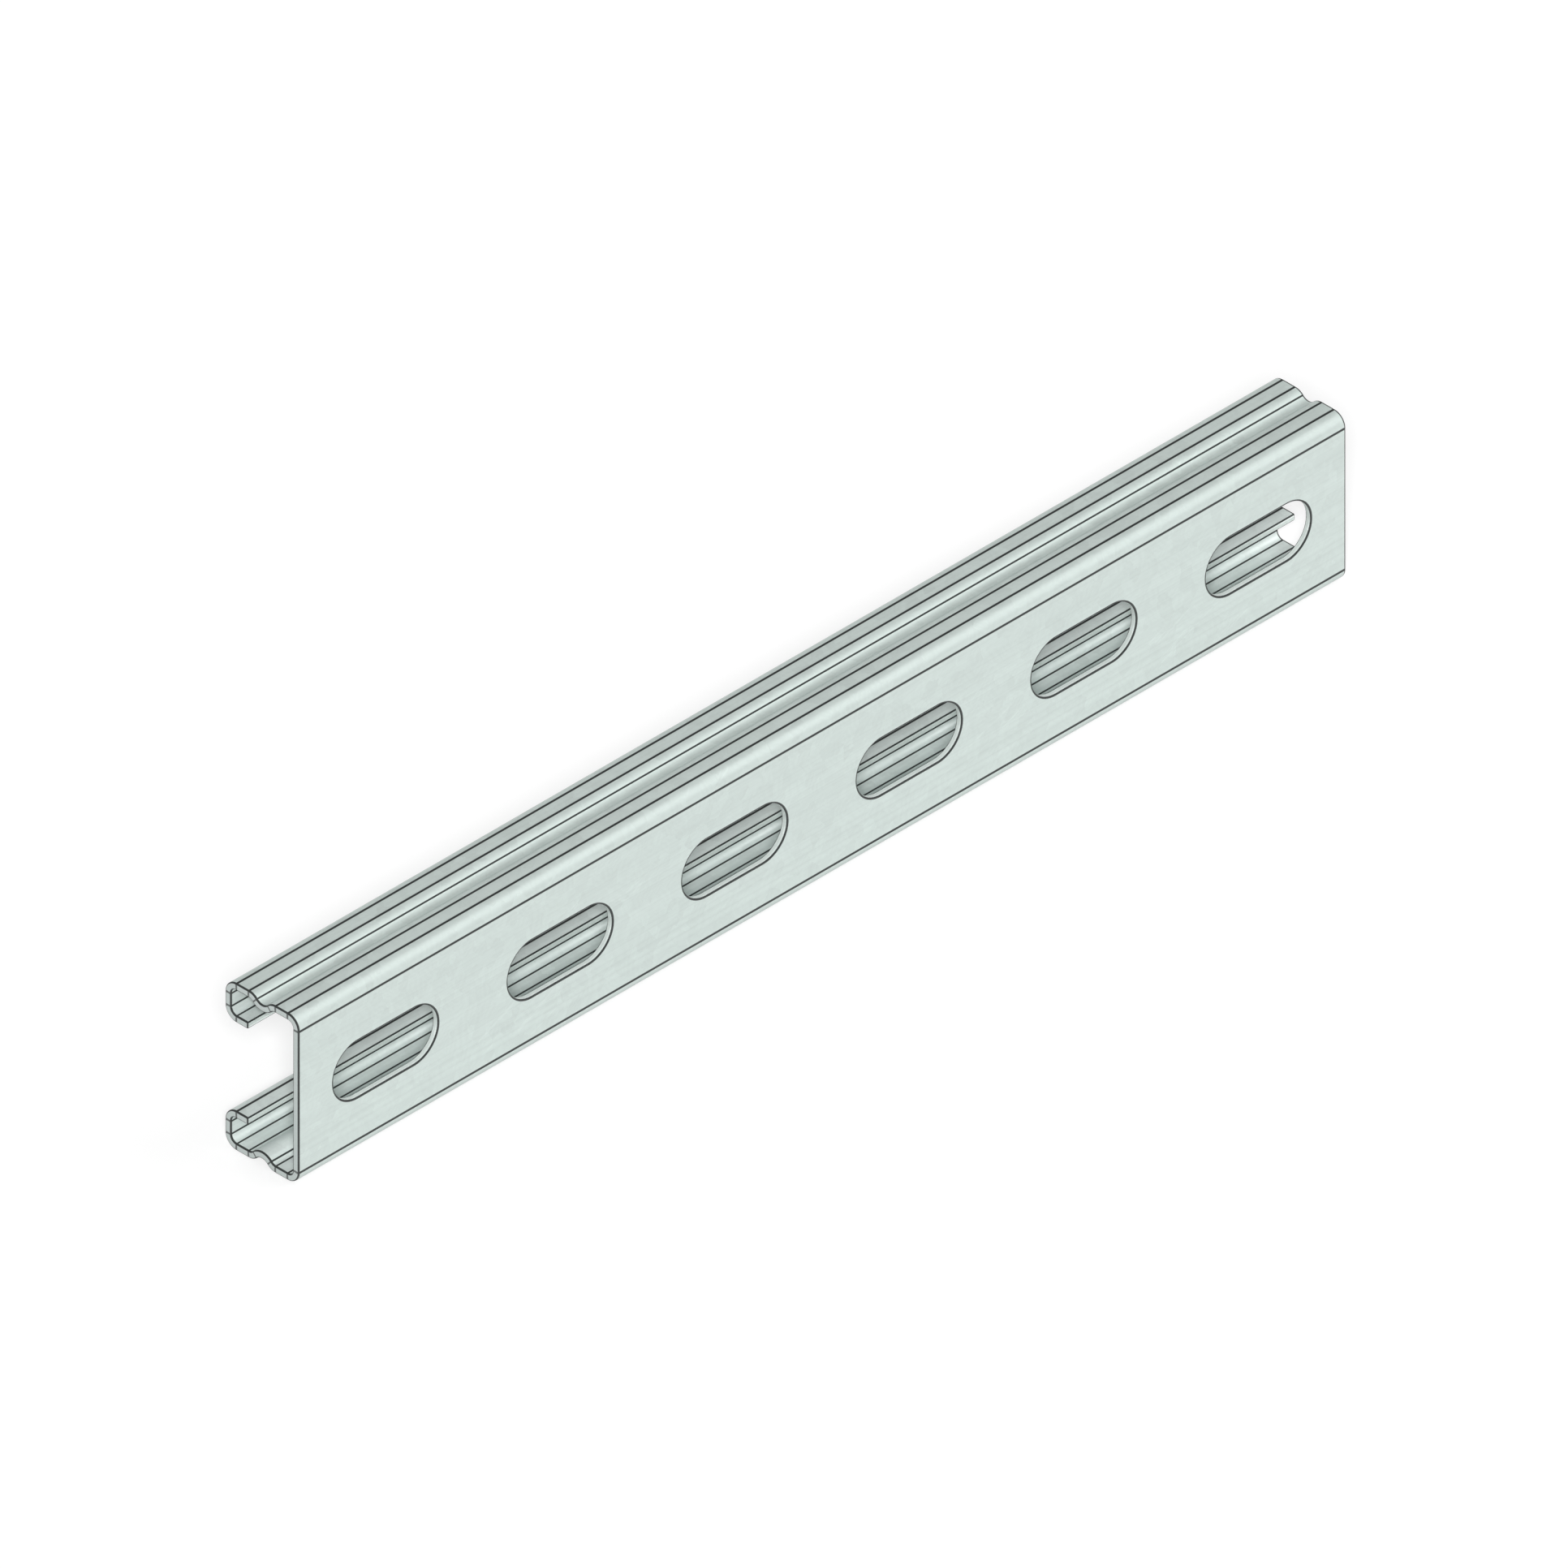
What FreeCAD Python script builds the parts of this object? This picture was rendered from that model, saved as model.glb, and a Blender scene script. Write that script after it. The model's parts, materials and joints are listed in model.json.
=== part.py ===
import FreeCAD, Part
import math
import os

# Strut channel: a cut length of galvanised steel sheet, roll-formed into a deep C.
# It is one piece of sheet all the way round: a slotted back, two sides with a
# lengthwise groove pressed inwards, two lips, and lip edges that turn back inside.
# It lies along X on its lower side, with its back to -Y and its open mouth to +Y.
# The origin is the middle of its footprint, and every size is in millimetres.

length = 300.0              # cut length, a whole number of slot pitches
height = 41.3               # across the two sides
depth = 21.0                # from the back to the lips
sheet = 1.6                 # thickness of the steel
bend_radius = 1.5           # inside radius of every square bend
lip_height = 9.6            # each lip, from the side to the mouth
return_reach = 6.45         # from the lip face to the cut edge inside
groove_depth = 1.6          # how far the side groove is pressed in
groove_root_radius = 2.1    # hollow of the groove, on the outer face
shoulder_radius = 1.5       # inside radius where the side rolls into the groove
slot_length = 30.0          # end to end
slot_width = 14.0
slot_pitch = 50.0           # from one slot to the next
first_slot = 25.0           # from the cut end to the middle of the first slot

# Sizes that follow from those above
outer_bend = bend_radius + sheet
groove_sweep = shoulder_radius + sheet + groove_root_radius
groove_turn = math.acos(1 - groove_depth / groove_sweep)
groove_width = 2 * groove_sweep * math.sin(groove_turn)
back_flat = height - 2 * outer_bend
side_flat = (depth - 2 * outer_bend - groove_width) / 2
lip_flat = lip_height - 2 * outer_bend
return_flat = return_reach - outer_bend
slot_count = 1 + int((length - first_slot - slot_length / 2 - sheet) // slot_pitch)

NEAR_END = -length / 2
BACK = -depth / 2
SQUARE = math.pi / 2


def flat(run):
    """A straight stretch of the section."""
    return run, 0.0


def bend(radius, turn):
    """A bend with its inner radius: turns above zero go towards the inside of the channel."""
    return radius, turn


def ahead(heading):
    """Unit vector along the sheet, in the plane of the section."""
    return FreeCAD.Vector(0, math.cos(heading), math.sin(heading))


def through(heading):
    """Unit vector through the sheet, from its outer face to its inner face."""
    return FreeCAD.Vector(0, math.sin(heading), -math.cos(heading))


def one_side():
    """Flats and bends from the back to one cut edge: side, groove, side, lip and return."""
    return [
        bend(bend_radius, SQUARE),
        flat(side_flat),
        bend(shoulder_radius, groove_turn),
        bend(groove_root_radius, -2 * groove_turn),
        bend(shoulder_radius, groove_turn),
        flat(side_flat),
        bend(bend_radius, SQUARE),
        flat(lip_flat),
        bend(bend_radius, SQUARE),
        flat(return_flat),
    ]


def rolled_section():
    """The bent sheet seen from its end, as one face.

    The walk starts at the cut edge of the lower return and keeps to the outer face,
    round by the back, to the cut edge of the upper return.
    """
    place = FreeCAD.Vector(NEAR_END, depth / 2 - return_reach, lip_height)
    heading = 0.0
    start = place
    outer, inner = [], []
    for size, turn in one_side()[::-1] + [flat(back_flat)] + one_side():
        if turn:
            reach = size + sheet if turn > 0 else -size
            centre = place + through(heading) * reach
            stops = [through(heading - turn * part) for part in (0, 0.5, 1)]
            outer.append(Part.Arc(*[centre - stop * reach for stop in stops]).toShape())
            inner.append(Part.Arc(*[centre - stop * (reach - sheet) for stop in stops]).toShape())
            heading -= turn
            place = centre - through(heading) * reach
        else:
            onward = place + ahead(heading) * size
            inset = through(heading) * sheet
            outer.append(Part.makeLine(place, onward))
            inner.append(Part.makeLine(place + inset, onward + inset))
            place = onward
    first_edge = Part.makeLine(start, start + through(0.0) * sheet)
    last_edge = Part.makeLine(place, place + through(heading) * sheet)
    return Part.Face(Part.Wire(outer + [last_edge] + inner[::-1] + [first_edge]))


def slot_punch(middle):
    """A round-ended slot, as deep as the back is thick, with its middle at this X."""
    half_width = slot_width / 2
    half_run = slot_length / 2 - half_width
    left, right = middle - half_run, middle + half_run
    low, centre, high = height / 2 - half_width, height / 2, height / 2 + half_width

    def on_back(x, z):
        return FreeCAD.Vector(x, BACK, z)

    outline = Part.Wire([
        Part.makeLine(on_back(left, low), on_back(right, low)),
        Part.Arc(on_back(right, low), on_back(right + half_width, centre), on_back(right, high)).toShape(),
        Part.makeLine(on_back(right, high), on_back(left, high)),
        Part.Arc(on_back(left, high), on_back(left - half_width, centre), on_back(left, low)).toShape(),
    ])
    return Part.Face(outline).extrude(FreeCAD.Vector(0, sheet, 0))


def strut_channel():
    """The rolled section drawn out to its length, with the row of slots punched in its back."""
    channel = rolled_section().extrude(FreeCAD.Vector(length, 0, 0))
    for index in range(slot_count):
        channel = channel.cut(slot_punch(NEAR_END + first_slot + index * slot_pitch))
    return channel.Solids[0]


os.makedirs("parts", exist_ok=True)
strut_channel().exportStep("parts/strut_channel.step")
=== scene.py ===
import json
import math

import bpy
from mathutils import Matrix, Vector


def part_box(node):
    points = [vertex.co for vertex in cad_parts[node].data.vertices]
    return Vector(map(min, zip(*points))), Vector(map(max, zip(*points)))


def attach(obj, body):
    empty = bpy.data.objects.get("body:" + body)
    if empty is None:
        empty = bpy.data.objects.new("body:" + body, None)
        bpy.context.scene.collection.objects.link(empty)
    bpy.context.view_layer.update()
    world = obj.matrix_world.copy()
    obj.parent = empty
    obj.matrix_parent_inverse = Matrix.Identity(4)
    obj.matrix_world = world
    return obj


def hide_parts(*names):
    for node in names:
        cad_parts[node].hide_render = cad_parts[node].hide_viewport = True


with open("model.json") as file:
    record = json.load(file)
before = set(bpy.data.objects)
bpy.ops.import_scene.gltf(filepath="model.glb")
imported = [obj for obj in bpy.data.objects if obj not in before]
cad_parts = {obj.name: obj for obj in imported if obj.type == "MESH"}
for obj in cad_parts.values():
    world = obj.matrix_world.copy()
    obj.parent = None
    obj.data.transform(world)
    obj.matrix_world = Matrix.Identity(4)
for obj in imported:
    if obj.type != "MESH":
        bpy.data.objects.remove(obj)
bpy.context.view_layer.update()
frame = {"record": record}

# The strip before it is rolled. Galvanised steel sheet runs off a coil through a press, which
# punches a row of round-ended slots along its middle. One pitch of the strip is made with its
# slot and repeated along the length, and becomes the back of the channel.
low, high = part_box("strut_channel")
centre = (low + high) / 2
length = high.x - low.x
sheet_thickness = 0.0016
bend_radius = 0.0015
outer_bend = bend_radius + sheet_thickness
roll_line = 0.0004
back_half = (high.z - low.z) / 2 - outer_bend
slot_row = next(m["dims"] for m in frame["record"]["mounts"] if m["name"] == "slots_inner")
slot_length = slot_row["slot_length_mm"] / 1000
slot_width = 2 * slot_row["hole_r_mm"] / 1000
slot_pitch = slot_row["spacing_x_mm"] / 1000
slot_count = round(length / slot_pitch)
slot_end_steps = 12
weld = 1e-6


def plate_outline(width, height):
    """A plate in the plane of the back, around the middle of the first slot."""
    middle = (low.x + slot_pitch / 2, low.y, centre.z)
    bpy.ops.mesh.primitive_plane_add(size=1, location=middle, rotation=(math.radians(90), 0, 0))
    if bpy.context.mode == "OBJECT":
        bpy.ops.object.mode_set(mode="EDIT")
    bpy.ops.transform.resize(value=(width, 1, height))


bpy.ops.object.select_all(action="DESELECT")
plate_outline(slot_pitch, 2 * (back_half - roll_line))
bpy.ops.mesh.delete(type="ONLY_FACE")
plate_outline(slot_length, slot_width)
bpy.ops.mesh.bevel(offset=slot_width / 2, segments=slot_end_steps, profile=0.5, affect="VERTICES")
bpy.ops.mesh.remove_doubles(threshold=weld)
bpy.ops.mesh.delete(type="ONLY_FACE")
bpy.ops.mesh.select_all(action="SELECT")
bpy.ops.mesh.fill(use_beauty=True)
bpy.ops.object.mode_set(mode="OBJECT")
bpy.ops.object.transform_apply(location=True, rotation=True, scale=True)
channel = bpy.context.object
channel.name = "galvanised_channel"
row = channel.modifiers.new("slot row", "ARRAY")
row.count = slot_count
row.use_merge_vertices = True
row.merge_threshold = weld
bpy.ops.object.modifier_apply(modifier=row.name)

# The rolled sides. Roller after roller turns each long edge of the strip: up into a side,
# in and out again for the stiffening groove, round into a lip, and back inside the lip.
# Every bend keeps the sheet's full thickness, so the outer face alone is drawn out here.
lip_height = 0.0096
return_reach = 0.00645
groove_depth = 0.0016
groove_root_radius = 0.0021
shoulder_radius = 0.0015
arc_step = math.radians(5)
square = math.radians(90)
groove_sweep = shoulder_radius + sheet_thickness + groove_root_radius
groove_turn = math.acos(1 - groove_depth / groove_sweep)
groove_width = 2 * groove_sweep * math.sin(groove_turn)
side_flat = (high.y - low.y - 2 * outer_bend - groove_width) / 2
lip_flat = lip_height - 2 * outer_bend
return_flat = return_reach - outer_bend
ON_FLAT, AT_LINE, IN_BEND = 0, 0.5, 1
marked_rows = []


def clear_selection():
    bpy.ops.object.mode_set(mode="OBJECT")
    for items in (channel.data.vertices, channel.data.edges, channel.data.polygons):
        items.foreach_set("select", [False] * len(items))


def select_edges(inside):
    """Select, in edit mode, the edges whose two ends lie where the test says."""
    clear_selection()
    for edge in channel.data.edges:
        edge.select = all(inside(channel.data.vertices[end].co) for end in edge.vertices)
    bpy.ops.object.mode_set(mode="EDIT")
    bpy.ops.mesh.select_mode(type="EDGE")


def select_faces(inside):
    """Select, in edit mode, the faces that the test picks by their middle and their normal."""
    clear_selection()
    for face in channel.data.polygons:
        face.select = inside(face.center, face.normal)
    bpy.ops.object.mode_set(mode="EDIT")
    bpy.ops.mesh.select_mode(type="FACE")


class RolledEdge:
    """One long edge of the strip as it is rolled: where it is now, and which way it runs."""

    def __init__(self, side):
        self.side = side
        self.y = low.y
        self.rise = back_half - roll_line
        self.heading = square
        edge_z = centre.z + side * self.rise
        select_edges(lambda co: abs(co.z - edge_z) < weld)

    def mark(self, rolled):
        """Notes how far the sheet is rolled here. A row without a mark is in a bend."""
        marked_rows.append((self.y, centre.z + self.side * self.rise, rolled))

    def draw_out(self, run):
        """A straight stretch."""
        step_y = run * math.cos(self.heading)
        step_rise = run * math.sin(self.heading)
        bpy.ops.mesh.extrude_region_move(
            TRANSFORM_OT_translate={"value": (0, step_y, self.side * step_rise)})
        self.y += step_y
        self.rise += step_rise

    def flat(self, run):
        """A flat between two bends, with a narrow band at each end for the roller's line."""
        self.draw_out(roll_line)
        self.mark(ON_FLAT)
        self.draw_out(run - 2 * roll_line)
        self.mark(ON_FLAT)
        self.draw_out(roll_line)

    def bend(self, radius, turn):
        """A bend on the outer face: turns above zero go towards the inside of the channel."""
        self.mark(AT_LINE)
        reach = math.copysign(radius, turn)
        middle_y = self.y + reach * math.sin(self.heading)
        middle_rise = self.rise - reach * math.cos(self.heading)
        middle_z = centre.z + self.side * middle_rise
        bpy.ops.mesh.spin(steps=math.ceil(abs(turn) / arc_step), angle=turn,
                          center=(0, middle_y, middle_z), axis=(self.side, 0, 0))
        self.heading -= turn
        self.y = middle_y - reach * math.sin(self.heading)
        self.rise = middle_rise + reach * math.cos(self.heading)
        self.mark(AT_LINE)


for side in (1, -1):
    edge = RolledEdge(side)
    edge.draw_out(roll_line)
    edge.bend(outer_bend, square)
    edge.flat(side_flat)
    edge.bend(shoulder_radius + sheet_thickness, groove_turn)
    edge.bend(groove_root_radius, -2 * groove_turn)
    edge.bend(shoulder_radius + sheet_thickness, groove_turn)
    edge.flat(side_flat)
    edge.bend(outer_bend, square)
    edge.flat(lip_flat)
    edge.bend(outer_bend, square)
    edge.draw_out(roll_line)
    edge.mark(ON_FLAT)
    edge.draw_out(return_flat - roll_line)
    edge.mark(ON_FLAT)

bpy.ops.mesh.select_mode(type="VERT")
bpy.ops.mesh.select_all(action="SELECT")
bpy.ops.mesh.remove_doubles(threshold=weld)
bpy.ops.mesh.normals_make_consistent(inside=False)
bpy.ops.object.mode_set(mode="OBJECT")


def rolled_at(place):
    """How far the sheet is rolled here, with the line where each bend begins or turns over."""
    if abs(place.y - low.y) < weld and abs(place.z - centre.z) < back_half - roll_line / 2:
        return ON_FLAT
    for y, z, rolled in marked_rows:
        if math.hypot(place.y - y, place.z - z) < weld:
            return rolled
    return IN_BEND


rolled_mask = channel.data.attributes.new("rolled", "FLOAT", "POINT")
for vertex, mask in zip(channel.data.vertices, rolled_mask.data):
    mask.value = rolled_at(vertex.co)

# The sheet's own thickness, and its cut edges. The punch rolls the rim of each slot over, shears
# the wall clean for its first third and tears it a little wider below. The lip edges are slit,
# the ends are sawn, and every cut edge is left with a narrow arris of bare steel.
slot_rollover = 0.00025
slot_burnish = 0.0006
slot_tear = 0.00008
slot_surround = 0.001
arris = 0.00025
rollover_steps = 3
arris_steps = 2
sharp_corner = math.radians(60)
squarely = 0.9
half_fill_light = 0.5
SAWN, SHEARED, ARRIS = 1, 2, 3

outer_count = len(channel.data.vertices)
wall = channel.modifiers.new("sheet", "SOLIDIFY")
wall.thickness = sheet_thickness
wall.offset = -1
wall.use_even_offset = True
bpy.ops.object.modifier_apply(modifier=wall.name)

depth_mask = channel.data.attributes.new("depth", "FLOAT", "POINT")
for index, mask in enumerate(depth_mask.data):
    mask.value = 0 if index < outer_count else 1
# Painted fill light: the inside faces fully, and the returns by half, are marked for a paler zinc
# tone that offsets the shade within the section.
fill_light_mask = channel.data.attributes.new("painted_fill_light", "FLOAT", "POINT")
for vertex, depth, mask in zip(channel.data.vertices, depth_mask.data, fill_light_mask.data):
    on_return = vertex.co.y > centre.y and abs(vertex.co.z - centre.z) < back_half - lip_flat
    mask.value = max(depth.value, half_fill_light * on_return)


def new_finish(name):
    """The next finish of the channel, counted from zero, as a node tree to build on."""
    finish = bpy.data.materials.new(name)
    finish.use_nodes = True
    channel.data.materials.append(finish)
    return finish.node_tree


zinc = new_finish("zinc_coated_sheet")
sawn = new_finish("sawn_steel_end")
sheared = new_finish("sheared_steel_wall")
bare = new_finish("bare_steel_arris")


def give_finish(index):
    channel.active_material_index = index
    bpy.ops.object.material_slot_assign()


def at_slot(place):
    """Whether a place on the sheet is in a slot or on its rim."""
    along = (place.x - low.x) % slot_pitch - slot_pitch / 2
    return (abs(along) < slot_length / 2 + slot_surround
            and abs(place.z - centre.z) < slot_width / 2 + slot_surround)


def on_slot_wall(middle, normal):
    return (at_slot(middle) and abs(normal.y) < squarely
            and low.y < middle.y < low.y + sheet_thickness)


def on_lip_edge(middle, normal):
    return normal.y < -squarely and abs(middle.y - (high.y - return_reach)) < arris


def on_cut_end(middle, normal):
    return abs(normal.x) > squarely and abs(middle.x - centre.x) > length / 2 - arris


select_faces(on_slot_wall)
bpy.ops.mesh.bisect(plane_co=(0, low.y + slot_burnish, 0), plane_no=(0, 1, 0))
torn_wider = (1 + 2 * slot_tear / slot_length, 1, 1 + 2 * slot_tear / slot_width)
for index in range(slot_count):
    slot_x = low.x + (index + 0.5) * slot_pitch
    select_edges(lambda co: abs(co.y - low.y - sheet_thickness) < weld
                 and at_slot(co) and abs(co.x - slot_x) < slot_pitch / 2)
    bpy.ops.transform.resize(value=torn_wider,
                             center_override=(slot_x, low.y + sheet_thickness, centre.z))
select_faces(on_cut_end)
give_finish(SAWN)
select_faces(lambda middle, normal: on_slot_wall(middle, normal) or on_lip_edge(middle, normal))
give_finish(SHEARED)
select_edges(lambda co: abs(co.y - low.y) < weld and at_slot(co))
bpy.ops.mesh.bevel(offset=slot_rollover, segments=rollover_steps, affect="EDGES", material=ARRIS)
bpy.ops.mesh.select_all(action="DESELECT")
bpy.ops.mesh.edges_select_sharp(sharpness=sharp_corner)
bpy.ops.mesh.bevel(offset=arris, segments=arris_steps, affect="EDGES", material=ARRIS)

bpy.ops.mesh.select_mode(type="FACE")
bpy.ops.mesh.select_all(action="SELECT")
bpy.ops.mesh.mod_weighted_strength(set=True, face_strength="STRONG")
clear_selection()
for face in channel.data.polygons:
    face.select = face.material_index == ARRIS
bpy.ops.object.mode_set(mode="EDIT")
bpy.ops.mesh.mod_weighted_strength(set=True, face_strength="WEAK")
bpy.ops.object.mode_set(mode="OBJECT")
bpy.ops.object.shade_smooth()
even = channel.modifiers.new("flat faces", "WEIGHTED_NORMAL")
even.use_face_influence = True
bpy.ops.object.modifier_apply(modifier=even.name)

# The zinc coat. It is a pale grey-green skin of faint crystals, drawn out in fine lengthwise
# streaks by the rollers, with a thin dark line where each bend begins. Its inside faces, and the
# returns by half, carry painted fill light: a paler tone that offsets the section's own shade.
# It is dark in a narrow rim beside every cut, and scratched by handling.
zinc_tone = (0.617, 0.694, 0.665)
# A paler zinc tone painted inside the section as fill light, against the section's own shade.
painted_fill_tone = (0.785, 0.85, 0.829)
metal_share = 0.35
zinc_roughness = 0.42
bend_line_darkness = 0.95
line_sharpness = 4
cut_rim_darkness = 0.9
cut_rim = 0.00015
cut_rim_waver = 0.00006
crystals_per_metre = 340
waves_on_crystal_edge = 2.5
crystal_edge_waver = 0.5
crystal_rib_rate = 30
streaks_per_metre = (0.8, 1300, 1300)
patches_per_metre = (18, 45, 45)
hairlines_per_metre = (9, 60, 260)
hairline_slant = 24
hairline_sharpness = 60
scuffs_per_metre = (30, 30, 30)
scuffed_above = 0.1
streak_depth = 0.000004
crystal_in_tone = 0.1
rib_in_tone = 0.012
streak_in_tone = 0.09
patch_in_tone = 0.05
scratch_in_tone = 0.05
crystal_in_roughness = 0.14
patch_in_roughness = 0.1
bend_in_roughness = 0.04
scratch_in_roughness = -0.08


def wire(tree, *steps):
    """Joins sockets in pairs: from, to, from, to."""
    for start, end in zip(steps[::2], steps[1::2]):
        tree.links.new(start, end)


def node_of(tree, kind, *given, **settings):
    """A node with its settings, and its inputs in turn, each a value or another node's output."""
    node = tree.nodes.new(kind)
    for name, value in settings.items():
        setattr(node, name, value)
    for socket, value in zip(node.inputs, given):
        if isinstance(value, bpy.types.NodeSocket):
            tree.links.new(value, socket)
        elif value is not None:
            socket.default_value = value
    return node


def reckon(tree, kind, *given):
    """A sum of numbers that vary over the surface."""
    return node_of(tree, "ShaderNodeMath", *given, operation=kind).outputs[0]


def reckon_places(tree, kind, *given):
    """A sum of places, directions or colours."""
    return node_of(tree, "ShaderNodeVectorMath", *given, operation=kind)


def about_zero(tree, colour):
    """A random colour made a random direction."""
    return reckon_places(tree, "SUBTRACT", colour, (0.5, 0.5, 0.5)).outputs[0]


def varied(tree, base, *marks):
    """A value that departs from its base by a share of each mark."""
    for mark, share in marks:
        base = reckon(tree, "MULTIPLY_ADD", mark, share, base)
    return base


def noise_at(tree, place, scale, detail):
    noise = node_of(tree, "ShaderNodeTexNoise", place)
    noise.inputs["Scale"].default_value = scale
    noise.inputs["Detail"].default_value = detail
    return noise.outputs


def shared_effect(name, inputs, output):
    """A node group for an effect that several finishes share: the group, its inputs, its output."""
    group = bpy.data.node_groups.new(name, "ShaderNodeTree")
    for label, kind in inputs:
        group.interface.new_socket(label, in_out="INPUT", socket_type=kind)
    group.interface.new_socket(output, in_out="OUTPUT", socket_type="NodeSocketFloat")
    given = group.nodes.new("NodeGroupInput").outputs
    return group, given, group.nodes.new("NodeGroupOutput").inputs[output]


# Marks that a tool draws along the metal, from about -0.5 to 0.5 times their contrast
drawn_marks, given, mark = shared_effect(
    "drawn_marks", (("Place", "NodeSocketVector"), ("Contrast", "NodeSocketFloat")), "Mark")
scratches = noise_at(drawn_marks, given["Place"], scale=1, detail=4)["Fac"]
scratches = reckon(drawn_marks, "SUBTRACT", scratches, 0.5)
wire(drawn_marks, reckon(drawn_marks, "MULTIPLY", scratches, given["Contrast"]), mark)

# The line where the sheet begins to bend, full across all but the edges of its narrow band
roller_lines, given, line = shared_effect(
    "roller_lines", (("Rolled", "NodeSocketFloat"), ("Darkness", "NodeSocketFloat")), "Line")
off_line = reckon(roller_lines, "ABSOLUTE",
                  reckon(roller_lines, "MULTIPLY_ADD", given["Rolled"], 2, -1))
full = reckon(roller_lines, "MULTIPLY_ADD", off_line, -line_sharpness, line_sharpness)
full = reckon(roller_lines, "MINIMUM", full, 1)
wire(roller_lines, reckon(roller_lines, "MULTIPLY", full, given["Darkness"]), line)


def place_on(tree, scale, turn=0):
    """The place on the piece, scaled so that a pattern of size one comes out at the right size."""
    place = tree.nodes.new("ShaderNodeTexCoord").outputs["Object"]
    if turn:
        turned = (0, math.radians(turn), 0)
        place = node_of(tree, "ShaderNodeMapping", place, None, turned).outputs[0]
    return node_of(tree, "ShaderNodeMapping", place, None, None, scale).outputs[0]


def marks_along(tree, marks_per_metre, contrast, turn=0):
    group = node_of(tree, "ShaderNodeGroup", node_tree=drawn_marks)
    wire(tree, place_on(tree, marks_per_metre, turn), group.inputs["Place"])
    group.inputs["Contrast"].default_value = contrast
    return group.outputs["Mark"]


def mask_of(tree, name):
    return node_of(tree, "ShaderNodeAttribute", attribute_name=name).outputs["Fac"]


def line_at_bends(tree, darkness):
    group = node_of(tree, "ShaderNodeGroup", node_tree=roller_lines)
    wire(tree, mask_of(tree, "rolled"), group.inputs["Rolled"])
    group.inputs["Darkness"].default_value = darkness
    return group.outputs["Line"]


def two_tones(tree, first, second, share):
    """One colour that gives way to another as the share goes from 0 to 1."""
    mix = node_of(tree, "ShaderNodeMix", data_type="RGBA")
    mix.inputs["A"].default_value = (*first, 1)
    mix.inputs["B"].default_value = (*second, 1)
    wire(tree, share, mix.inputs["Factor"])
    return mix.outputs["Result"]


def shader_of(tree, metallic, roughness):
    shader = tree.nodes["Principled BSDF"]
    shader.inputs["Metallic"].default_value = metallic
    shader.inputs["Roughness"].default_value = roughness
    return shader


def tone_surface(tree, shader, tone, *factors):
    """A colour made lighter or darker by factors that vary over the surface."""
    for factor in factors:
        scaled = reckon_places(tree, "SCALE", tone)
        wire(tree, factor, scaled.inputs["Scale"])
        tone = scaled.outputs[0]
    wire(tree, tone, shader.inputs["Base Color"])


def relief(tree, shader, height, depth):
    bump = node_of(tree, "ShaderNodeBump")
    bump.inputs["Distance"].default_value = depth
    wire(tree, height, bump.inputs["Height"], bump.outputs[0], shader.inputs["Normal"])


shader = shader_of(zinc, metal_share, zinc_roughness)
place = place_on(zinc, (crystals_per_metre,) * 3)
ruffle = noise_at(zinc, place, scale=waves_on_crystal_edge, detail=3)["Color"]
ruffle = about_zero(zinc, ruffle)
place = reckon_places(zinc, "MULTIPLY_ADD", ruffle, (crystal_edge_waver,) * 3, place).outputs[0]
cell = node_of(zinc, "ShaderNodeTexVoronoi", place)
cell.inputs["Scale"].default_value = 1
crystal = reckon(zinc, "SUBTRACT", cell.outputs["Color"], 0.5)
growth = about_zero(zinc, cell.outputs["Color"])
from_middle = reckon_places(zinc, "SUBTRACT", place, cell.outputs["Position"]).outputs[0]
ribs = reckon_places(zinc, "DOT_PRODUCT", from_middle, growth).outputs["Value"]
ribs = reckon(zinc, "SINE", reckon(zinc, "MULTIPLY", ribs, crystal_rib_rate))
streak = marks_along(zinc, streaks_per_metre, contrast=2)
patch = marks_along(zinc, patches_per_metre, contrast=1)
hairline = marks_along(zinc, hairlines_per_metre, contrast=1, turn=hairline_slant)
hairline = reckon(zinc, "ABSOLUTE", hairline)
hairline = reckon(zinc, "MULTIPLY_ADD", hairline, -hairline_sharpness, 1)
hairline = reckon(zinc, "MAXIMUM", hairline, 0)
scuff = marks_along(zinc, scuffs_per_metre, contrast=1)
scuffed = reckon(zinc, "GREATER_THAN", scuff, scuffed_above)
scratch = reckon(zinc, "MULTIPLY", hairline, scuffed)
spot = node_of(zinc, "ShaderNodeSeparateXYZ", place_on(zinc, (1, 1, 1))).outputs
from_centre = reckon(zinc, "ABSOLUTE", reckon(zinc, "SUBTRACT", spot["X"], centre.x))
by_saw_cut = reckon(zinc, "GREATER_THAN", varied(zinc, from_centre, (patch, cut_rim_waver)),
                    length / 2 - arris - cut_rim)
from_gap = reckon(zinc, "PINGPONG", reckon(zinc, "SUBTRACT", spot["X"], low.x), slot_pitch / 2)
past_straight = reckon(zinc, "SUBTRACT", (slot_pitch - slot_length + slot_width) / 2, from_gap)
past_straight = reckon(zinc, "MAXIMUM", past_straight, 0)
off_middle = reckon(zinc, "SUBTRACT", spot["Z"], centre.z)
from_slot = node_of(zinc, "ShaderNodeCombineXYZ", past_straight, off_middle).outputs[0]
from_slot = reckon_places(zinc, "LENGTH", from_slot).outputs["Value"]
by_slot = reckon(zinc, "LESS_THAN", varied(zinc, from_slot, (patch, cut_rim_waver)),
                 slot_width / 2 + slot_rollover + cut_rim)
by_cut = reckon(zinc, "MAXIMUM", by_saw_cut, by_slot)
dark = reckon(zinc, "MAXIMUM", line_at_bends(zinc, bend_line_darkness),
              reckon(zinc, "MULTIPLY", by_cut, cut_rim_darkness))
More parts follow.
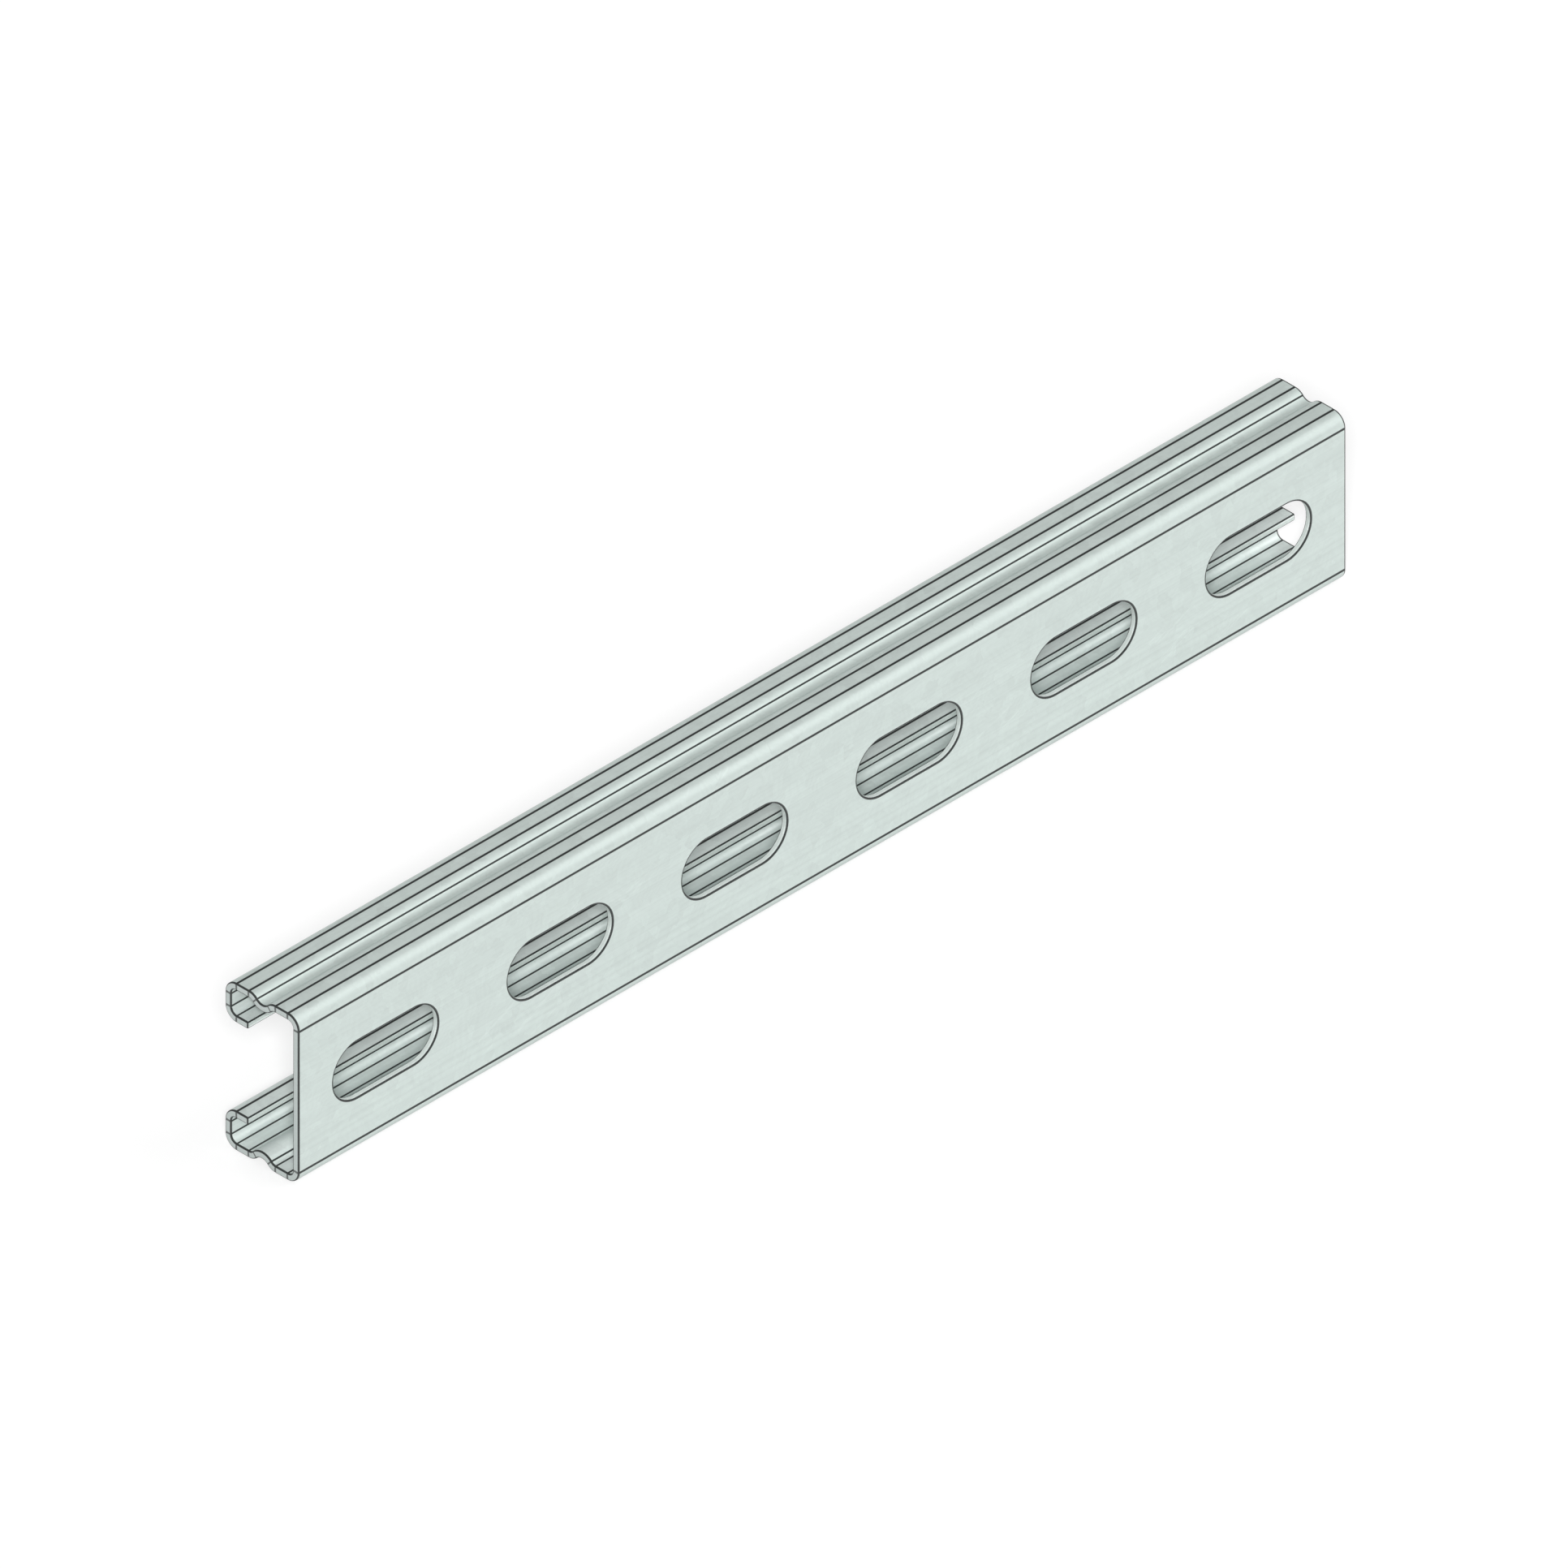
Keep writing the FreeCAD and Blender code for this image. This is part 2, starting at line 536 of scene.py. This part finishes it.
# Painted fill light: the marked inside faces take the paler tone, to offset the shade within the
# section.
tone = two_tones(zinc, zinc_tone, painted_fill_tone, mask_of(zinc, "painted_fill_light"))
coat = varied(zinc, 1, (crystal, crystal_in_tone), (ribs, rib_in_tone), (streak, streak_in_tone),
              (patch, patch_in_tone), (scratch, scratch_in_tone))
tone_surface(zinc, shader, tone, coat, varied(zinc, 1, (dark, -1)))
dullness = varied(zinc, zinc_roughness, (crystal, crystal_in_roughness),
                  (patch, patch_in_roughness), (mask_of(zinc, "rolled"), bend_in_roughness),
                  (scratch, scratch_in_roughness))
wire(zinc, dullness, shader.inputs["Roughness"])
relief(zinc, shader, streak, streak_depth)

# The sawn ends. A saw cuts the rolled length square, and its fine lines cross the bare steel
# from the back to the lips. Each bend shows in the cut as a grey line through the sheet.
sawn_tone = (0.50, 0.555, 0.54)
sawn_roughness = 0.42
bend_mark_darkness = 0.75
saw_lines_per_metre = (200, 500, 5000)
saw_line_depth = 0.000006
saw_line_in_tone = 0.12
saw_line_in_roughness = 0.1

shader = shader_of(sawn, metal_share, sawn_roughness)
saw_line = marks_along(sawn, saw_lines_per_metre, contrast=2)
tone_surface(sawn, shader, sawn_tone, varied(sawn, 1, (saw_line, saw_line_in_tone)),
             varied(sawn, 1, (line_at_bends(sawn, bend_mark_darkness), -1)))
dullness = varied(sawn, sawn_roughness, (saw_line, saw_line_in_roughness))
wire(sawn, dullness, shader.inputs["Roughness"])
relief(sawn, shader, saw_line, saw_line_depth)

# The punched slot walls and the slit lip edges. The tool burnishes the first third of the
# sheet's thickness to a bright band, and the rest tears to a grainy grey.
burnished_tone = (0.86, 0.93, 0.90)
torn_tone = (0.76, 0.83, 0.80)
burnished_roughness = 0.3
torn_roughness = 0.6
grains_per_metre = (2600, 2600, 2600)
drag_marks_per_metre = (3000, 60, 3000)
tear_depth = 0.000008
grain_in_tear_line = 0.06
grain_in_tone = 0.08
drag_in_tone = 0.05
grain_in_relief = 3

shader = shader_of(sheared, metal_share, burnished_roughness)
grain = marks_along(sheared, grains_per_metre, contrast=2)
drag = marks_along(sheared, drag_marks_per_metre, contrast=2)
ragged_depth = varied(sheared, mask_of(sheared, "depth"), (grain, grain_in_tear_line))
torn = reckon(sheared, "GREATER_THAN", ragged_depth, slot_burnish / sheet_thickness)
tone_surface(sheared, shader, two_tones(sheared, burnished_tone, torn_tone, torn),
             varied(sheared, 1, (grain, grain_in_tone), (drag, drag_in_tone)))
dullness = varied(sheared, burnished_roughness, (torn, torn_roughness - burnished_roughness))
wire(sheared, dullness, shader.inputs["Roughness"])
torn_grain = reckon(sheared, "MULTIPLY", torn, grain)
relief(sheared, shader, varied(sheared, drag, (torn_grain, grain_in_relief)), tear_depth)

# The arris of every cut. The tools break the zinc along it and leave bare steel, which dulls
# before the rest to a thin dark line, a little uneven along its run.
arris_tone = (0.045, 0.05, 0.049)
arris_roughness = 0.5
dull_spots_per_metre = (300, 900, 900)
dulling_in_tone = 0.5
dulling_in_roughness = 0.2

shader = shader_of(bare, metal_share, arris_roughness)
dulling = marks_along(bare, dull_spots_per_metre, contrast=1)
tone_surface(bare, shader, arris_tone, varied(bare, 1, (dulling, dulling_in_tone)))
dullness = varied(bare, arris_roughness, (dulling, dulling_in_roughness))
wire(bare, dullness, shader.inputs["Roughness"])

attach(channel, "root")
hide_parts("strut_channel")

# The studio floor, pale and plain. The camera and the metal see it as white, and it keeps the
# shadow. A white sheet lies well below it, for a camera set so low that it looks in underneath.
floor_size = 20
floor_tone = 0.45
floor_glow = 0.57
sheet_below = 0.2


def level_plane(name, height, tone, glow):
    """A wide level plane that adds a glow of its own where the camera or the metal sees it."""
    bpy.ops.object.select_all(action="DESELECT")
    bpy.ops.mesh.primitive_plane_add(size=floor_size, location=(0, 0, height))
    plane = bpy.context.object
    plane.name = name
    paint = bpy.data.materials.new(name)
    paint.use_nodes = True
    tree = paint.node_tree
    shader = shader_of(tree, 0, 1)
    shader.inputs["Base Color"].default_value = (tone, tone, tone, 1)
    shader.inputs["Specular IOR Level"].default_value = 0
    shader.inputs["Emission Color"].default_value = (1, 1, 1, 1)
    path = node_of(tree, "ShaderNodeLightPath").outputs
    seen = reckon(tree, "MAXIMUM", path["Is Camera Ray"], path["Is Glossy Ray"])
    seen = reckon(tree, "MAXIMUM", seen, path["Is Transmission Ray"])
    seen = reckon(tree, "MULTIPLY", seen, reckon(tree, "LESS_THAN", path["Diffuse Depth"], 1))
    wire(tree, reckon(tree, "MULTIPLY", seen, glow), shader.inputs["Emission Strength"])
    plane.data.materials.append(paint)


level_plane("studio_floor", low.z, floor_tone, floor_glow)
level_plane("white_sheet_below", low.z - sheet_below, 0, 1)

# The camera. The photograph is a true isometric view: no perspective, and the same tilt to all
# three axes. Its scale is set by the frame's width on the object.
frame_pixels = 1932
pixels_per_metre = 6083.2
centre_pixel = (967.8, 960.6)
view_azimuth = math.radians(-45)
view_elevation = math.asin(1 / math.sqrt(3))
right = Vector((math.cos(view_azimuth), math.sin(view_azimuth), 0))
back_off = Vector((math.sin(view_azimuth) * math.cos(view_elevation),
                   -math.cos(view_azimuth) * math.cos(view_elevation), math.sin(view_elevation)))
up = back_off.cross(right)
aim = (centre - right * (centre_pixel[0] - frame_pixels / 2) / pixels_per_metre
       + up * (centre_pixel[1] - frame_pixels / 2) / pixels_per_metre)
camera_data = bpy.data.cameras.new("camera")
camera_data.type = "ORTHO"
camera_data.ortho_scale = frame_pixels / pixels_per_metre
camera = bpy.data.objects.new("camera", camera_data)
camera.location = aim + back_off
camera.rotation_euler = back_off.to_track_quat("Z", "Y").to_euler()
bpy.context.scene.collection.objects.link(camera)
bpy.context.scene.camera = camera
bpy.context.scene.view_settings.view_transform = "Standard"

# The light: an even pale surround, a soft key from the camera's own side, a broad light from
# the right that runs along the bends, and a low one that reaches into the open mouth.
surround_brightness = 0.25
from_the_right = Vector((0.577, -0.5, 0.58))
into_the_mouth = Vector((0.25, 0.95, 0.2))

surround = bpy.data.worlds.new("studio_surround")
surround.use_nodes = True
surround.node_tree.nodes["Background"].inputs["Color"].default_value = (1, 1, 1, 1)
surround.node_tree.nodes["Background"].inputs["Strength"].default_value = surround_brightness
bpy.context.scene.world = surround


def soft_light(name, towards, spread, brightness, shines):
    """Soft light from one side. White that faces it squarely is lit to this brightness."""
    data = bpy.data.lights.new(name, "SUN")
    data.angle = math.radians(spread)
    data.energy = brightness * math.pi
    light = bpy.data.objects.new(name, data)
    light.location = centre + towards.normalized()
    light.rotation_euler = towards.to_track_quat("Z", "Y").to_euler()
    light.visible_glossy = shines
    bpy.context.scene.collection.objects.link(light)


soft_light("key_light", back_off, spread=10, brightness=1.0, shines=False)
soft_light("side_light", from_the_right, spread=50, brightness=0.24, shines=True)
soft_light("mouth_light", into_the_mouth, spread=50, brightness=0.45, shines=False)
